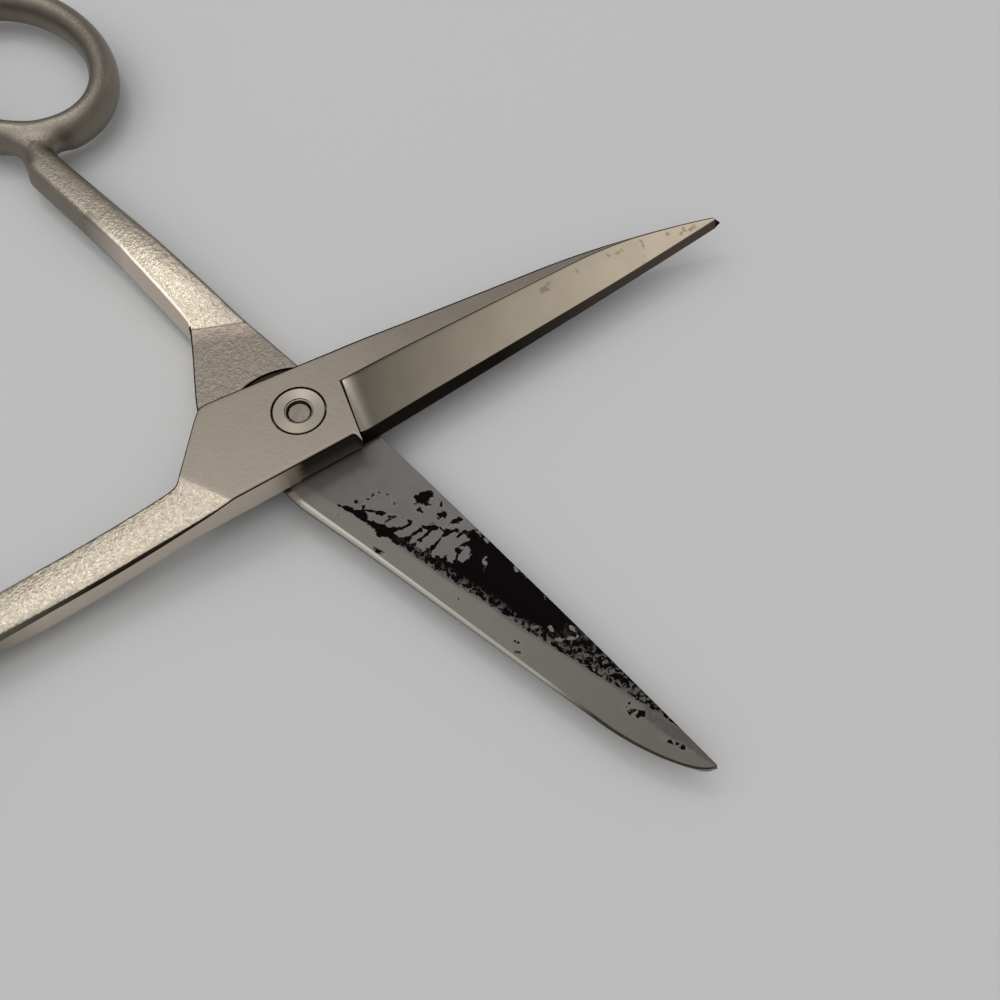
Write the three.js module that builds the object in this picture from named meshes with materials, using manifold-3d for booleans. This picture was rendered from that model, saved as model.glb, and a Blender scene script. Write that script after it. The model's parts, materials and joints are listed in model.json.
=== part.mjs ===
// Household scissors, lying open on the flat outer face of the back half.
// Two forged steel halves turn on one pin. A half is a blade, a boss, a shank and a finger bow in one piece.
// Sizes are in millimetres and +Z is up. The origin is on the pivot axis, where the pin's flush head meets
// the table, and +X runs along the line halfway between the two open blades.

import * as THREE from 'three';
import { mergeVertices } from 'three/addons/utils/BufferGeometryUtils.js';
import Module from 'manifold-3d';

// Opening of the blades as they lie, in degrees
const OPENING = 72.4;

// Either half, measured from the pivot axis
const BLADE_LENGTH = 72.3;
const HANDLE_LENGTH = 109.7;
const HALF_THICKNESS = 5.1;
const RUNNING_GAP = 0.3;

// Blade outline: the cutting edge runs below the line from pivot to tip, and the spine above it
const HEEL_X = 5.6;
const EDGE_DROP = 6.75;
const EDGE_BULGE = 0.25;
const SPINE_RISE = 8.8;
const SPINE_TOE = 4.2;

// Nose of each blade: the front one comes to a point, and the back one is blunter
const FRONT_NOSE_LENGTH = 30;
const FRONT_NOSE_POWER = 1;
const BACK_NOSE_LENGTH = 14;
const BACK_NOSE_POWER = 0.5;

// Blade section: a flat strip along the spine, a hollow-ground face and a steep bevel down to the edge
const TIP_THICKNESS = 1.7;
const SPINE_DRAFT = 2;
const BEAD_RADIUS = 0.85;
const BEAD_TIP_RADIUS = 0.2;
const GRIND_HEEL = 1.5;
const GRIND_TOE = 4.4;
const GRIND_STEP = 0.25;
const HOLLOW_SAG = 0.25;
const BEVEL_WIDTH = 1.1;
const BEVEL_HEIGHT = 1.6;
const BEVEL_TIP_WIDTH = 0.65;
const BEVEL_TIP_HEIGHT = 1;
const EDGE_RADIUS = 0.1;
const HEEL_FILLET = 2.5;
const HEEL_WALL_SHARE = 0.3;
const HEEL_SLANT = 0.17;

// Boss: a straight side in line with the edge, and a rear edge that leans away from the pivot.
// Each half is finished to its own line
const FRONT_BOSS_SIDE = 7.1;
const FRONT_REAR_REACH = 19.1;
const FRONT_REAR_LEAN = 51.7;
const BACK_BOSS_SIDE = 6.65;
const BACK_REAR_REACH = 24.5;
const BACK_REAR_LEAN = 36.8;
const REAR_DRAFT = 1.5;
const REAR_CORNER = 1.6;
const BOSS_CORNER = 0.35;
const RELIEF_RADIUS = 11.5;
const RELIEF_DEPTH = 0.5;

// Shank: it splays a little from the boss's straight side and rounds off towards the bow
const FRONT_SHANK_WIDTH = 5.6;
const BACK_SHANK_WIDTH = 7;
const SHANK_THICKNESS = 5.6;
const SHANK_SPLAY = 0.035;
const SHANK_FLARE = 2.4;
const SHANK_CORNER = 2.2;
const INNER_CREASE_X = -22.3;
const INNER_CREASE_SKEW = -0.8;
const OUTER_CREASE_X = -15.4;
const OUTER_CREASE_SKEW = -0.67;
const HANDLE_BLEND = 28;

// Finger bow: an oval ring lying on the mid-plane between the halves. The shank's end inside the ring keeps
// a share of the ring's section
const BOW_INSIDE_LENGTH = 33;
const BOW_INSIDE_WIDTH = 22;
const BOW_WIDTH = 4.8;
const BOW_THICKNESS = 6.8;
const BOW_CLEARANCE = 1.6;
const SHANK_END_SHARE = 0.4;

// Pivot: a headed pin through both bosses, and a turned collar on its front end
const PIN_DIAMETER = 3.4;
const PIN_CLEARANCE = 0.08;
const PIN_RECESS = 0.6;
const PIN_HEAD_DIAMETER = 7.2;
const PIN_HEAD_HEIGHT = 1.8;
const COLLAR_DIAMETER = 7.2;
const COLLAR_HEIGHT = 2;
const COLLAR_BORE_CLEARANCE = 0.15;
const SUNK_CLEARANCE = 0.3;
const SEAT_CLEARANCE = 0.1;
const PIVOT_CHAMFER = 0.1;

// Largest share of a section's width that the bevel, the ground face and a rounded corner may take
const BEVEL_LIMIT = 0.4;
const FACE_LIMIT = 0.8;
const SHANK_FACE_LIMIT = 0.5;
const CORNER_LIMIT = 0.45;

// Facets
const ROUND_STEPS = 48;
const BOW_STEPS = 56;
const BOW_SIDES = 12;
const CORNER_STEPS = 2;
const BEAD_STEPS = 3;
const INNER_STEPS = 3;
const FACE_STEPS = 4;
const BLADE_STEPS = 10;
const NOSE_STEPS = 12;
const NOSE_END = 0.08;
const HEEL_STEPS = 5;
const BOSS_STEPS = 5;
const REAR_STEPS = 24;
const SHANK_STEPS = 12;
const JOIN_STEPS = 10;
const CUT_MARGIN = 1;

const wasm = await Module();
wasm.setup();

const bowReachX = BOW_INSIDE_LENGTH / 2 + BOW_WIDTH;
const bowReachY = BOW_INSIDE_WIDTH / 2 + BOW_WIDTH;
const bowCentre = new THREE.Vector2(bowReachX - HANDLE_LENGTH, -BOW_CLEARANCE / 2 - bowReachY);
const bowLineX = BOW_INSIDE_LENGTH / 2 + BOW_WIDTH / 2;
const bowLineY = BOW_INSIDE_WIDTH / 2 + BOW_WIDTH / 2;

const { clamp, lerp, degToRad } = THREE.MathUtils;
const share = (x, from, to) => clamp((x - from) / (to - from), 0, 1);
const easeOut = (v) => 1 - (1 - v) ** 2;
const easeInOut = (v) => v * v * (3 - 2 * v);
const steps = (count) => Array.from({ length: count }, (_, i) => (i + 1) / count);
const softMin = (a, b, round) => (a + b - Math.hypot(a - b, round)) / 2;
const softMax = (a, b, round) => (a + b + Math.hypot(a - b, round)) / 2;

// What differs between the halves
const frontShape = {
  noseLength: FRONT_NOSE_LENGTH,
  nosePower: FRONT_NOSE_POWER,
  side: FRONT_BOSS_SIDE,
  rearReach: FRONT_REAR_REACH,
  rearSlope: Math.tan(degToRad(FRONT_REAR_LEAN)),
  shank: FRONT_SHANK_WIDTH,
};
const backShape = {
  noseLength: BACK_NOSE_LENGTH,
  nosePower: BACK_NOSE_POWER,
  side: BACK_BOSS_SIDE,
  rearReach: BACK_REAR_REACH,
  rearSlope: Math.tan(degToRad(BACK_REAR_LEAN)),
  shank: BACK_SHANK_WIDTH,
};

// Outlines of a half in plan, with the pivot at 0 and the tip on +x

function bladeShare(x) {
  return share(x, HEEL_X, BLADE_LENGTH);
}

function noseFactor(x, shape) {
  const along = share(x, BLADE_LENGTH - shape.noseLength, BLADE_LENGTH);
  return (1 - along * along) ** shape.nosePower;
}

function sideLine(x, shape) {
  const s = bladeShare(x);
  if (x > HEEL_X) return -EDGE_DROP * (1 - s) - 4 * EDGE_BULGE * s * (1 - s);
  return -shape.side - SHANK_SPLAY * (HEEL_X - x);
}

function upperLine(x, shape, spineDraft, rearDraft) {
  const spine = (lerp(SPINE_RISE, SPINE_TOE, bladeShare(x)) - spineDraft) * noseFactor(x, shape);
  if (x > HEEL_X) return spine;
  const rear = (x + shape.rearReach - rearDraft) * shape.rearSlope;
  return softMax(softMin(spine, rear, REAR_CORNER), sideLine(x, shape) + shape.shank, SHANK_FLARE);
}

// Middle line of the bow on the side where the shank runs into it
function bowLine(x) {
  const along = clamp((x - bowCentre.x) / bowLineX, -1, 1);
  return bowCentre.y + bowLineY * Math.sqrt(1 - along * along);
}

// Heights of a half: its inner face is at 0 and the boss's outer face at HALF_THICKNESS

function handleShare(x, y, shape, creaseX, skew) {
  const shankMiddle = sideLine(creaseX, shape) + shape.shank / 2;
  const past = creaseX + skew * (y - shankMiddle) - x;
  return easeOut(clamp(past / HANDLE_BLEND, 0, 1));
}

function innerHeight(x, y, shape) {
  return -SHANK_THICKNESS / 2 * handleShare(x, y, shape, INNER_CREASE_X, INNER_CREASE_SKEW);
}

function outerHeight(x, y, shape) {
  const blade = lerp(HALF_THICKNESS, TIP_THICKNESS, bladeShare(x));
  return lerp(blade, SHANK_THICKNESS / 2, handleShare(x, y, shape, OUTER_CREASE_X, OUTER_CREASE_SKEW));
}

// Points of a rounded corner, from the line towards `before` to the line towards `after`
function corner(before, at, after, radius, count) {
  const towards = (to) => {
    const length = at.distanceTo(to);
    return at.clone().lerp(to, Math.min(radius / length, CORNER_LIMIT));
  };
  return new THREE.QuadraticBezierCurve(towards(before), at, towards(after)).getPoints(count);
}

// One cross-section of a half at x, as (y, z) points, running from the edge over the inner face to the spine,
// and back over the outer face. ground is how far the section is ground to the blade's faces
function halfSection(x, shape, ground) {
  const s = bladeShare(x);
  const draft = SPINE_DRAFT * lerp(1, TIP_THICKNESS / HALF_THICKNESS, s);
  const edge = sideLine(x, shape);
  const inside = upperLine(x, shape, 0, 0);
  const outside = upperLine(x, shape, draft, REAR_DRAFT);
  const width = outside - edge;
  const onInner = (y) => new THREE.Vector2(y, innerHeight(x, y, shape));
  const onOuter = (y) => new THREE.Vector2(y, outerHeight(x, y, shape));

  const bevelWidth = Math.min(lerp(BEVEL_WIDTH, BEVEL_TIP_WIDTH, s), BEVEL_LIMIT * width);
  const bevelTop = new THREE.Vector2(edge + bevelWidth, lerp(BEVEL_HEIGHT, BEVEL_TIP_HEIGHT, s));
  const edgeInner = onInner(edge);
  const spineInner = onInner(inside);
  const spineOuter = onOuter(outside);
  const edgeOuter = onOuter(edge).lerp(bevelTop, ground);

  const rounding = share(-x, -OUTER_CREASE_X, HANDLE_BLEND - OUTER_CREASE_X);
  const faceLimit = edge + lerp(FACE_LIMIT, SHANK_FACE_LIMIT, rounding) * width;
  const grind = Math.min(lerp(GRIND_HEEL, GRIND_TOE, s), faceLimit);
  const stripEdge = onOuter(grind);
  const faceTop = onOuter(grind - GRIND_STEP);
  faceTop.y -= GRIND_STEP * ground * (1 - s);

  const bead = lerp(BOSS_CORNER, lerp(BEAD_RADIUS, BEAD_TIP_RADIUS, s), share(x, -HEEL_X, HEEL_X));
  const edgeCorner = lerp(lerp(BOSS_CORNER, EDGE_RADIUS, ground), SHANK_CORNER, rounding);
  const spineCorner = lerp(bead, SHANK_CORNER, rounding);
  const outerCorner = lerp(BOSS_CORNER, SHANK_CORNER, rounding);

  const edgeTurn = corner(edgeOuter, edgeInner, spineInner, edgeCorner, CORNER_STEPS);
  const beadTurn = corner(edgeInner, spineInner, spineOuter, spineCorner, BEAD_STEPS);
  const spineTurn = corner(spineInner, spineOuter, stripEdge, outerCorner, CORNER_STEPS);
  const bevelTurn = corner(faceTop, edgeOuter, edgeInner, edgeCorner, CORNER_STEPS);
  const innerFace = steps(INNER_STEPS).slice(0, -1).map(
    (part) => onInner(lerp(edgeTurn.at(-1).x, beadTurn[0].x, part)),
  );
  const outerFace = steps(FACE_STEPS).slice(0, -1).map((part) => {
    const flat = onOuter(lerp(faceTop.x, bevelTurn[0].x, part));
    const sag = HOLLOW_SAG * 4 * part * (1 - part) * (1 - s);
    const hollow = new THREE.Vector2(flat.x, lerp(faceTop.y, bevelTurn[0].y, part) - sag);
    return flat.lerp(hollow, ground);
  });
  const inner = [...edgeTurn, ...innerFace, ...beadTurn];
  const outer = [...spineTurn, stripEdge, faceTop, ...outerFace, ...bevelTurn];
  return [...inner, ...outer];
}

// Where the middle of the shank meets the bow's middle line
function bowJoin(shape) {
  const shankMiddle = sideLine(bowCentre.x + bowReachX, shape) + shape.shank / 2;
  const rise = (shankMiddle - bowCentre.y) / bowLineY;
  return bowCentre.x + bowLineX * Math.sqrt(1 - rise * rise);
}

// Past that place the shank's section follows the bow and shrinks, so that it ends inside the ring
function intoBow(x, shape, points) {
  const join = bowJoin(shape);
  const weight = easeInOut(share(-x, -join - BOW_WIDTH, -join + BOW_WIDTH));
  const middle = new THREE.Vector2(bowLine(x), 0);
  const box = new THREE.Box2().setFromPoints(points);
  const size = box.getSize(new THREE.Vector2());
  const centre = box.getCenter(new THREE.Vector2());
  const scale = new THREE.Vector2(BOW_WIDTH, BOW_THICKNESS).multiplyScalar(SHANK_END_SHARE).divide(size);
  return points.map((point) => {
    const shrunk = point.clone().sub(centre).multiply(scale).add(middle);
    return point.clone().lerp(shrunk, weight);
  });
}

// Places of the cross-sections, each with how far it is ground
function halfStations(shape) {
  const stations = [];
  const upTo = (from, to, count, ground) => {
    for (const part of steps(count)) stations.push([lerp(from, to, part), ground]);
  };
  const join = bowJoin(shape);
  const rearEnd = -shape.rearReach - SHANK_FLARE;
  const bossStart = -SPINE_RISE;
  const bladeStart = HEEL_X + HEEL_FILLET;
  const noseStart = BLADE_LENGTH - shape.noseLength;
  const lastTurn = Math.acos(NOSE_END ** (0.5 / shape.nosePower));

  stations.push([join - BOW_WIDTH, 0]);
  upTo(join - BOW_WIDTH, join + BOW_WIDTH, JOIN_STEPS, 0);
  upTo(join + BOW_WIDTH, rearEnd, SHANK_STEPS, 0);
  upTo(rearEnd, bossStart, REAR_STEPS, 0);
  upTo(bossStart, HEEL_X, BOSS_STEPS, 0);
  for (const part of steps(HEEL_STEPS)) {
    const ground = lerp(HEEL_WALL_SHARE, 1, easeOut(part));
    stations.push([HEEL_X + HEEL_FILLET * part * part, ground]);
  }
  upTo(bladeStart, noseStart, BLADE_STEPS, 1);
  for (const part of steps(NOSE_STEPS)) {
    stations.push([noseStart + shape.noseLength * Math.sin(lastTurn * part), 1]);
  }
  return stations;
}

// The heel's step leans over the boss, so points near it shift along x by how far they are from the side
function heelShift(x, y, shape) {
  const near = 1 - share(Math.abs(x - HEEL_X), 0, EDGE_DROP + SPINE_RISE);
  return HEEL_SLANT * (y - sideLine(x, shape)) * easeInOut(near);
}

// Closed skin through rings of points. Open rows of rings get a cap at each end, around the given points
function skin(rings, caps) {
  const count = rings[0].length;
  const vertices = rings.flat();
  const triangles = [];
  const rows = caps ? rings.length - 1 : rings.length;
  for (let row = 0; row < rows; row += 1) {
    const here = row * count;
    const next = ((row + 1) % rings.length) * count;
    for (let i = 0; i < count; i += 1) {
      const j = (i + 1) % count;
      triangles.push(here + i, here + j, next + j, here + i, next + j, next + i);
    }
  }
  if (caps) {
    const last = (rings.length - 1) * count;
    const first = vertices.push(caps[0]) - 1;
    const end = vertices.push(caps[1]) - 1;
    for (let i = 0; i < count; i += 1) {
      const j = (i + 1) % count;
      triangles.push(first, j, i, end, last + i, last + j);
    }
  }
  const geometry = new THREE.BufferGeometry().setFromPoints(vertices);
  geometry.setIndex(triangles);
  return geometry;
}

function toSolid(geometry) {
  const plain = geometry.clone();
  plain.deleteAttribute('normal');
  plain.deleteAttribute('uv');
  const merged = mergeVertices(plain, 1e-5);
  return new wasm.Manifold(new wasm.Mesh({
    numProp: 3,
    vertProperties: new Float32Array(merged.attributes.position.array),
    triVerts: new Uint32Array(merged.index.array),
  }));
}

function toGeometry(solid) {
  const mesh = solid.getMesh();
  const geometry = new THREE.BufferGeometry();
  geometry.setAttribute('position', new THREE.BufferAttribute(new Float32Array(mesh.vertProperties), 3));
  geometry.setIndex(new THREE.BufferAttribute(new Uint32Array(mesh.triVerts), 1));
  return geometry;
}

function middleOf(points) {
  const sum = new THREE.Vector3();
  for (const point of points) sum.add(point);
  return sum.divideScalar(points.length);
}

// Blade, boss and shank, up to the shank's end inside the bow's ring
function bladeAndShank(shape) {
  const rings = halfStations(shape).map(([x, ground]) => intoBow(x, shape, halfSection(x, shape, ground)).map(
    ({ x: y, y: z }) => new THREE.Vector3(x + heelShift(x, y, shape), y, z),
  ));
  const tip = middleOf(rings.at(-1)).setX(BLADE_LENGTH);
  return skin(rings, [middleOf(rings[0]), tip]);
}

function bowRing() {
  const rings = [];
  for (let i = 0; i < BOW_STEPS; i += 1) {
    const turn = i / BOW_STEPS * 2 * Math.PI;
    const outwards = new THREE.Vector2(bowLineY * Math.cos(turn), bowLineX * Math.sin(turn)).normalize();
    const ring = [];
    for (let k = 0; k < BOW_SIDES; k += 1) {
      const around = k / BOW_SIDES * 2 * Math.PI;
      const out = BOW_WIDTH / 2 * Math.cos(around);
      ring.push(new THREE.Vector3(
        bowCentre.x + bowLineX * Math.cos(turn) + out * outwards.x,
        bowCentre.y + bowLineY * Math.sin(turn) + out * outwards.y,
        -BOW_THICKNESS / 2 * Math.sin(around),
      ));
    }
    rings.push(ring);
  }
  return skin(rings, null);
}

// Upright round cutter of the given diameter between two heights
function roundCutter(diameter, bottom, top) {
  const cutter = new THREE.CylinderGeometry(diameter / 2, diameter / 2, top - bottom, ROUND_STEPS);
  cutter.rotateX(Math.PI / 2);
  cutter.translate(0, 0, (bottom + top) / 2);
  return cutter;
}

// Shallow half-round relief behind the pivot on the inner face
function reliefCutter() {
  const half = new THREE.Shape();
  half.absarc(0, 0, RELIEF_RADIUS, Math.PI / 2, 3 * Math.PI / 2);
  const options = { depth: RELIEF_DEPTH + CUT_MARGIN, bevelEnabled: false, curveSegments: ROUND_STEPS / 2 };
  return new THREE.ExtrudeGeometry(half, options).translate(0, 0, -CUT_MARGIN);
}

// A half with its bore, and a counterbore in its outer face for the pin's head or the collar
function makeHalf(shape, sunkDiameter, sunkDepth) {
  const bore = PIN_DIAMETER + 2 * PIN_CLEARANCE;
  const sinkTop = HALF_THICKNESS + CUT_MARGIN;
  const sink = sunkDiameter + 2 * SUNK_CLEARANCE;
  const half = toSolid(bladeAndShank(shape))
    .add(toSolid(bowRing()))
    .subtract(toSolid(reliefCutter()))
    .subtract(toSolid(roundCutter(bore, -CUT_MARGIN, sinkTop)))
    .subtract(toSolid(roundCutter(sink, HALF_THICKNESS - sunkDepth - SEAT_CLEARANCE, sinkTop)));
  return toGeometry(half);
}

// Turned piece from (radius, height) corners, with its axis on Z
function turned(corners) {
  const profile = corners.map(([radius, height]) => new THREE.Vector2(radius, height));
  return new THREE.LatheGeometry(profile, ROUND_STEPS).rotateX(Math.PI / 2);
}

const topFace = 2 * HALF_THICKNESS + RUNNING_GAP;

function makePin() {
  const pin = PIN_DIAMETER / 2;
  const head = PIN_HEAD_DIAMETER / 2;
  const end = topFace - PIN_RECESS;
  return turned([
    [0, 0],
    [head - PIVOT_CHAMFER, 0],
    [head, PIVOT_CHAMFER],
    [head, PIN_HEAD_HEIGHT],
    [pin, PIN_HEAD_HEIGHT],
    [pin, end - PIVOT_CHAMFER],
    [pin - PIVOT_CHAMFER, end],
    [0, end],
  ]);
}

function makeCollar() {
  const bore = PIN_DIAMETER / 2 + COLLAR_BORE_CLEARANCE;
  const rim = COLLAR_DIAMETER / 2;
  const seat = topFace - COLLAR_HEIGHT;
  return turned([
    [bore, seat],
    [rim, seat],
    [rim, topFace - PIVOT_CHAMFER],
    [rim - PIVOT_CHAMFER, topFace],
    [bore + PIVOT_CHAMFER, topFace],
    [bore, topFace - PIVOT_CHAMFER],
    [bore, seat],
  ]);
}

function piece(name, geometry, color, roughness, metalness) {
  const mesh = new THREE.Mesh(geometry, new THREE.MeshStandardMaterial({ color, roughness, metalness }));
  mesh.name = name;
  return mesh;
}

const scissors = new THREE.Group();

const frontHalf = makeHalf(frontShape, COLLAR_DIAMETER, COLLAR_HEIGHT);
const front = new THREE.Group();
front.add(piece('front_half', frontHalf, '#b3aa9d', 0.35, 1));
front.position.z = HALF_THICKNESS + RUNNING_GAP;
front.rotation.z = degToRad(OPENING / 2);
scissors.add(front);

const backHalf = makeHalf(backShape, PIN_HEAD_DIAMETER, PIN_HEAD_HEIGHT);
const backMesh = piece('back_half', backHalf, '#a39c92', 0.4, 1);
backMesh.rotation.x = Math.PI;
const back = new THREE.Group();
back.add(backMesh);
back.position.z = HALF_THICKNESS;
back.rotation.z = degToRad(-OPENING / 2);
scissors.add(back);

scissors.add(piece('pivot_pin', makePin(), '#8f877c', 0.4, 1));
scissors.add(piece('pivot_collar', makeCollar(), '#a89f93', 0.3, 1));

export default scissors;
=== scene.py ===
"""Household scissors, lying open on a table: two forged steel halves on one pin with a turned collar.

The frame's origin is on the pivot axis at table height, +Z is up, and +X runs between the two blades.
"""

import json
import math

import bmesh
import bpy
import numpy as np
from mathutils import Matrix, Vector
from mathutils.kdtree import KDTree


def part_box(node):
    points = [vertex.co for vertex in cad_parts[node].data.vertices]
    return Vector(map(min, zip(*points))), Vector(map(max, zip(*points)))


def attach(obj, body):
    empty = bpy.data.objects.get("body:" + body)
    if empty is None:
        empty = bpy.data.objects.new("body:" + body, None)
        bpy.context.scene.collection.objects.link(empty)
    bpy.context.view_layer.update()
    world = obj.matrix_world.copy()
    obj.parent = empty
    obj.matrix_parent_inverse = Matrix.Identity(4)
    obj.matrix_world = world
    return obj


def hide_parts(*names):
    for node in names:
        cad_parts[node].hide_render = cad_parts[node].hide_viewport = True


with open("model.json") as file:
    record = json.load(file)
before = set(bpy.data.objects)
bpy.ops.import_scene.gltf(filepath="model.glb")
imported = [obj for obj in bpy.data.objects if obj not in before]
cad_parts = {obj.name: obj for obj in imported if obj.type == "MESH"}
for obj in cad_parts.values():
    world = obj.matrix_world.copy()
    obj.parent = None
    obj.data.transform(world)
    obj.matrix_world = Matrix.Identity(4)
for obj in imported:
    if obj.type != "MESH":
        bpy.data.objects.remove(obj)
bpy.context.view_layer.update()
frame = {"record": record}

# The two halves. Each is one forging of carbon steel: blade, boss, shank and finger bow. Boss and blade are
# ground after forging, the shanks keep their pebbled skin, and the back blade's inner face still carries
# black scale. They lie inner face to inner face and turn on the pin.

# A half is drawn in its own place, in mm: pivot at 0, tip on +x, cutting edge on -y, inner face at z = 0
MM = 0.001
OPENING = -frame["record"]["behaviour"]["joints"][0]["range_deg"][0]

BLADE_LENGTH, HANDLE_LENGTH = 72.3, 109.7
RUNNING_GAP = 0.3
FRONT_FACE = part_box("front_half")[1].z / MM
HALF_THICKNESS = (FRONT_FACE - RUNNING_GAP) / 2

# Blade: cutting edge, spine, ground face and whetted bevel, from the heel to the tip
HEEL_X = 5.6
EDGE_DROP, EDGE_BULGE, TIP_DROP = 6.75, 0.25, 0.3
SPINE_TOE, SPINE_DRAFT, BOSS_RISE, BOSS_FALL, BOSS_FALL_RUN = 4.2, 2.4, 0.08, 0.06, 8
TIP_THICKNESS, THINNING_START = 1.7, 0.2
BEAD_WIDTH, BEAD_DROP, BEAD_TIP_SHARE = 1.2, 0.6, 0.25
BEAD_START, BEAD_FULL, BEAD_END = -4, 1, 66
GRIND_HEEL, GRIND_TOE, GRIND_STEP = 1.5, 4.4, 0.25
HOLLOW_SAG = 0.25
FLAKES_END = 32
BEVEL_WIDTH, BEVEL_TIP_WIDTH = 0.85, 0.35
FACE_SLOPE, FACE_TIP_SLOPE = 0.45, 0.16
BEVEL_HEIGHT, BEVEL_TIP_HEIGHT = 1.6, 1.0
EDGE_RADIUS = 0.1
HEEL_FILLET, HEEL_WALL_SHARE, HEEL_SLANT, HEEL_LINE = 4, 0.3, 0.17, 0.3
INNER_HOLLOW, INNER_STRIP_HEEL, INNER_STRIP_SLOPE = 0.12, 6.78, -0.118
HOLLOW_RUN, HOLLOW_LEAST_WIDTH = 3, 0.1
LIP_DROP, LIP_RUN, LIP_CLEAR = 1.9, 1.0, 0.5

# Boss and shank
REAR_DRAFT, REAR_CORNER, BOSS_CORNER, OUTER_CORNER, FOOT_CORNER = 1.5, 0.9, 0.35, 0.25, 0.65
SHANK_BEAD_WIDTH, SHANK_BEAD_DROP, SHANK_BEAD_RUN = 0.45, 0.25, 3
SPINE_ROUND_START = 40
RELIEF_RADIUS, RELIEF_DEPTH, RELIEF_SHIFT = 10.4, 0.4, (-1.4, 0.8, 0)
SHANK_THICKNESS, SHANK_SPLAY, SHANK_FLARE = 5.6, 0.035, 0.8
SHANK_CORNER, SHANK_CORNER_DROP, INNER_CORNER = 2.2, 0.9, 1.0
SHANK_CAMBER, CAMBER_RUN = 0.22, 3
INNER_CREASE_X, OUTER_CREASE_X = -22.06, -15.4
INNER_CREASE, OUTER_CREASE = (INNER_CREASE_X, -0.8), (OUTER_CREASE_X, -0.67)
HANDLE_BLEND, PEBBLES_START = 28, -52

# Finger bow
BOW_INSIDE_LENGTH, BOW_INSIDE_WIDTH = 33, 22
BOW_WIDTH, BOW_THICKNESS, BOW_CLEARANCE = 4.8, 6.8, 1.6
SHANK_END_SHARE = 0.4
SEAM_REACH, SEAM_ANGLE, SEAM_ROUND, SEAM_PULL, SEAM_PASSES = 16, 0.3, 3.5, 0.6, 60
BOW_LINE_X, BOW_LINE_Y = (BOW_INSIDE_LENGTH + BOW_WIDTH) / 2, (BOW_INSIDE_WIDTH + BOW_WIDTH) / 2
BOW_X = BOW_INSIDE_LENGTH / 2 + BOW_WIDTH - HANDLE_LENGTH
BOW_Y = -BOW_CLEARANCE / 2 - BOW_INSIDE_WIDTH / 2 - BOW_WIDTH

# Pin hole and the round seat in the outer face
HOLE_RADIUS, SEAT_RADIUS = 1.78, 3.9

# What differs between the halves: the spine and the nose, the boss's sides, the collar's seat, the shank, the
# fineness of the drawing, the tip, and how smooth and how pale the forged skin is across the shank; the
# paleness across the shank is partly the skin's own colour and partly a painted highlight
FRONT = {
    "rise": 8.8, "nose": 30, "power": 0.85, "side": 7.1, "reach": 19.05, "lean": 53, "seat": 2.1,
    "shank": 5.9, "waist": 0, "spread": 0, "step": 0.6, "across": 30,
    "end": 0.13, "tip": 72.3, "point": 0.2, "cap": "bevel",
    "smooth": 1, "pale": ((0, 0.4, 1), (1, 0.85, 0.7)),
}
BACK = {
    "rise": 9.1, "nose": 14, "power": 0.57, "side": 6.65, "reach": 24, "lean": 39, "seat": 1.9,
    "shank": 6.4, "waist": 1.3, "spread": 1, "step": 0.2, "across": 60,
    "end": 0.03, "tip": 72.65, "point": 0.3, "cap": "inner",
    "smooth": 0.2, "pale": ((0, 0.5, 1), (0.35, 0.85, 1)),
}

# Largest share of a section's width that the bevel, the ground face and a rounded corner may take
BEVEL_LIMIT, FACE_LIMIT, NOSE_FACE_LIMIT, SHANK_FACE_LIMIT, CORNER_LIMIT = 0.4, 0.8, 0.97, 0.5, 0.45
NOSE_START, NOSE_FULL = 0.55, 0.78

# Fineness of the drawing: faces around each part of a section, and steps along a half in millimetres
CORNER_FACES, BEAD_FACES, SPINE_FACES, STRIP_FACES, GROUND_FACES, BEVEL_FACES = 6, 8, 6, 10, 28, 8
ROUND_STEP, SKIN_STEP, BOSS_STEP, BLADE_STEP = 0.5, 0.19, 0.3, 0.4
LIP_STEPS, FILLET_STEPS, NOSE_STEPS = 10, 16, 40


def share(x, start, end):
    return min(max((x - start) / (end - start), 0), 1)


def between(a, b, part):
    return a + (b - a) * part


def ease_out(v):
    return 1 - (1 - v) ** 2


def ease_both(v):
    return v * v * (3 - 2 * v)


def soft_min(a, b, rounding):
    return (a + b - math.hypot(a - b, rounding)) / 2


def soft_max(a, b, rounding):
    return (a + b + math.hypot(a - b, rounding)) / 2


def along_blade(x):
    return share(x, HEEL_X, BLADE_LENGTH)


def side_line(x, half):
    """The cutting edge along the blade, and the straight side along the boss and the shank."""
    s = along_blade(x)
    if x > HEEL_X:
        return -between(EDGE_DROP, TIP_DROP, s) - 4 * EDGE_BULGE * s * (1 - s)
    return -half["side"] - SHANK_SPLAY * (HEEL_X - x)


def shank_width(x, half):
    """The shank narrows a little from the boss to where its skin was forged round."""
    return half["shank"] - half["waist"] * share(-x, -INNER_CREASE_X, HANDLE_BLEND - OUTER_CREASE_X)


def upper_line(x, half, outer):
    """The spine along the blade, the boss's rear edge, and the shank's other side, on either face."""
    s = along_blade(x)
    nose = (1 - share(x, BLADE_LENGTH - half["nose"], BLADE_LENGTH) ** 2) ** half["power"]
    behind = max(HEEL_X - x, 0)
    fall = BOSS_FALL * min(behind, BOSS_FALL_RUN)
    draft = SPINE_DRAFT * between(1, TIP_THICKNESS / HALF_THICKNESS, s) - BOSS_RISE * behind - fall
    spine = (between(half["rise"], SPINE_TOE, s) - fall - outer * max(draft, 0)) * nose
    if x > HEEL_X:
        return spine
    rear = (x + half["reach"] - outer * REAR_DRAFT) * math.tan(math.radians(half["lean"]))
    shank = side_line(x, half) + shank_width(x, half) + outer * half["spread"]
    return soft_max(soft_min(spine, rear, REAR_CORNER), shank, SHANK_FLARE)


def past_crease(x, y, half, crease):
    """How far a place is past the slanting crease where the flat boss ends and the shank starts."""
    crease_x, skew = crease
    middle = -half["side"] - SHANK_SPLAY * (HEEL_X - crease_x) + half["shank"] / 2
    return crease_x + skew * (y - middle) - x


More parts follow.
